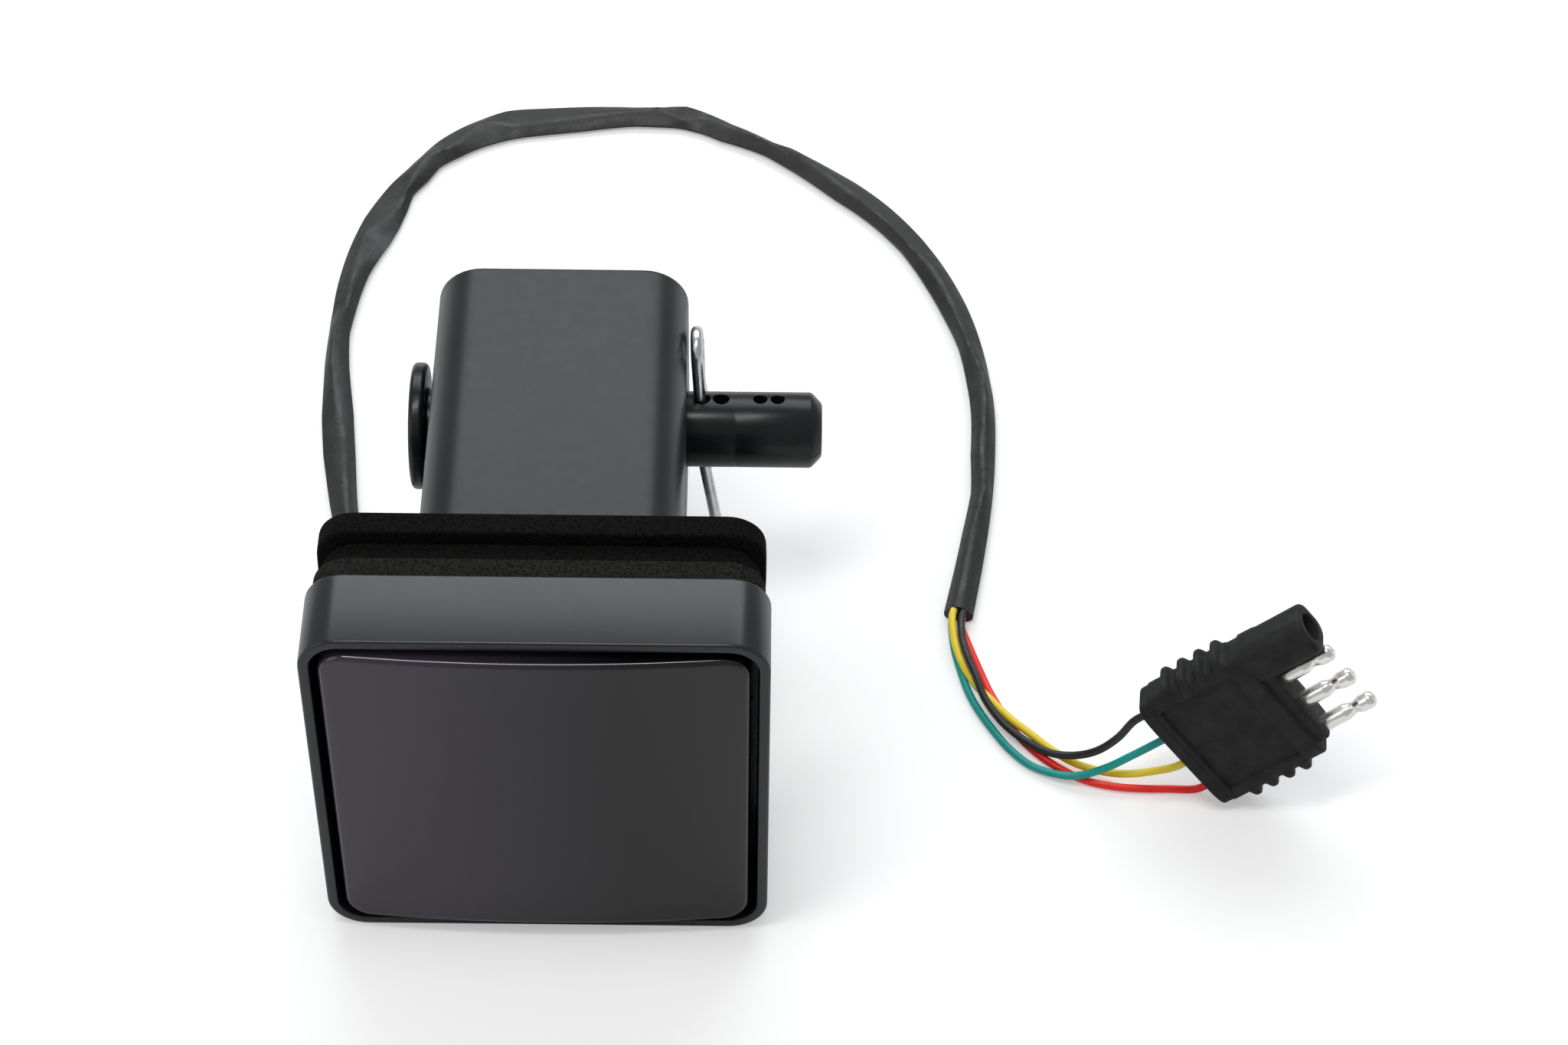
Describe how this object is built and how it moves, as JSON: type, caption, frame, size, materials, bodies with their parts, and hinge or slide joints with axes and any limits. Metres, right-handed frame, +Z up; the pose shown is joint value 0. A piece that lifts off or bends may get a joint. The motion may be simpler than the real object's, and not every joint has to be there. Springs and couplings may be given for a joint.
{
  "type": "tow hitch light cover",
  "caption": "Square smoked light on a foam gasket and hollow shank for a tow receiver, held by a hitch pin with spring clip, with cord and flat trailer plug.",
  "frame": {"origin": "on the ground, under the middle of the box round the housing, shank and hitch pin", "axes": "+Y from the lens to the free end of the shank, +X to the pin's free end, +Z up"},
  "size_m": [0.2156, 0.2358, 0.084],
  "materials": {
    "housing_plastic": "satin black moulded plastic",
    "smoked_lens": "polished smoked plastic",
    "seal_rubber": "soft black rubber",
    "board": "white solder mask",
    "lead_insulation": "thin insulation",
    "plated_steel": "zinc plated",
    "led_epoxy": "clear epoxy, stated plain",
    "resistor_body": "lacquered",
    "diode_body": "moulded",
    "shank_plastic": "satin black moulded plastic",
    "foam": "closed cell foam rubber, finely porous",
    "black_steel": "glossy black coating",
    "spring_wire": "bright zinc plated spring wire",
    "sleeve_plastic": "shrunk sleeve with flats and creases",
    "yellow_insulation": "soft insulation",
    "green_insulation": "soft insulation",
    "black_insulation": "soft insulation",
    "red_insulation": "soft insulation",
    "plug_rubber": "moulded rubbery plastic",
    "nickel": "bright nickel"
  },
  "bodies": {
    "light": {"housing": "housing_plastic", "lens": "smoked_lens", "lens_seal": "seal_rubber", "led_board": "board", "board_leads": "lead_insulation", "board_screws": "plated_steel", "led_1": "led_epoxy", "led_2": "led_epoxy", "led_3": "led_epoxy", "led_4": "led_epoxy", "led_5": "led_epoxy", "led_6": "led_epoxy", "led_7": "led_epoxy", "led_8": "led_epoxy", "led_9": "led_epoxy", "led_10": "led_epoxy", "led_11": "led_epoxy", "led_12": "led_epoxy", "led_13": "led_epoxy", "led_14": "led_epoxy", "led_15": "led_epoxy", "resistor_1": "resistor_body", "resistor_2": "resistor_body", "resistor_3": "resistor_body", "resistor_4": "resistor_body", "resistor_5": "resistor_body", "diode_1": "diode_body", "diode_2": "diode_body", "diode_3": "diode_body", "shank": "shank_plastic", "shank_screws": "plated_steel", "gasket_front_sheet": "foam", "gasket_middle_sheet": "foam", "gasket_rear_sheet": "foam", "cable_grommet": "seal_rubber", "cord_sleeve": "sleeve_plastic", "wire_yellow": "yellow_insulation", "wire_green": "green_insulation", "wire_black": "black_insulation", "wire_red": "red_insulation", "plug_body": "plug_rubber", "plug_socket_terminal": "nickel", "plug_terminal_1": "nickel", "plug_terminal_2": "nickel", "plug_terminal_3": "nickel"},
    "pin": {"hitch_pin": "black_steel", "hairpin_clip": "spring_wire"}
  },
  "joints": [
    {"name": "pin_turn", "type": "hinge", "parent": "light", "child": "pin", "pos_m": [-0.005, 0.03725, 0.042], "axis": [1, 0, 0], "continuous": true}
  ]
}
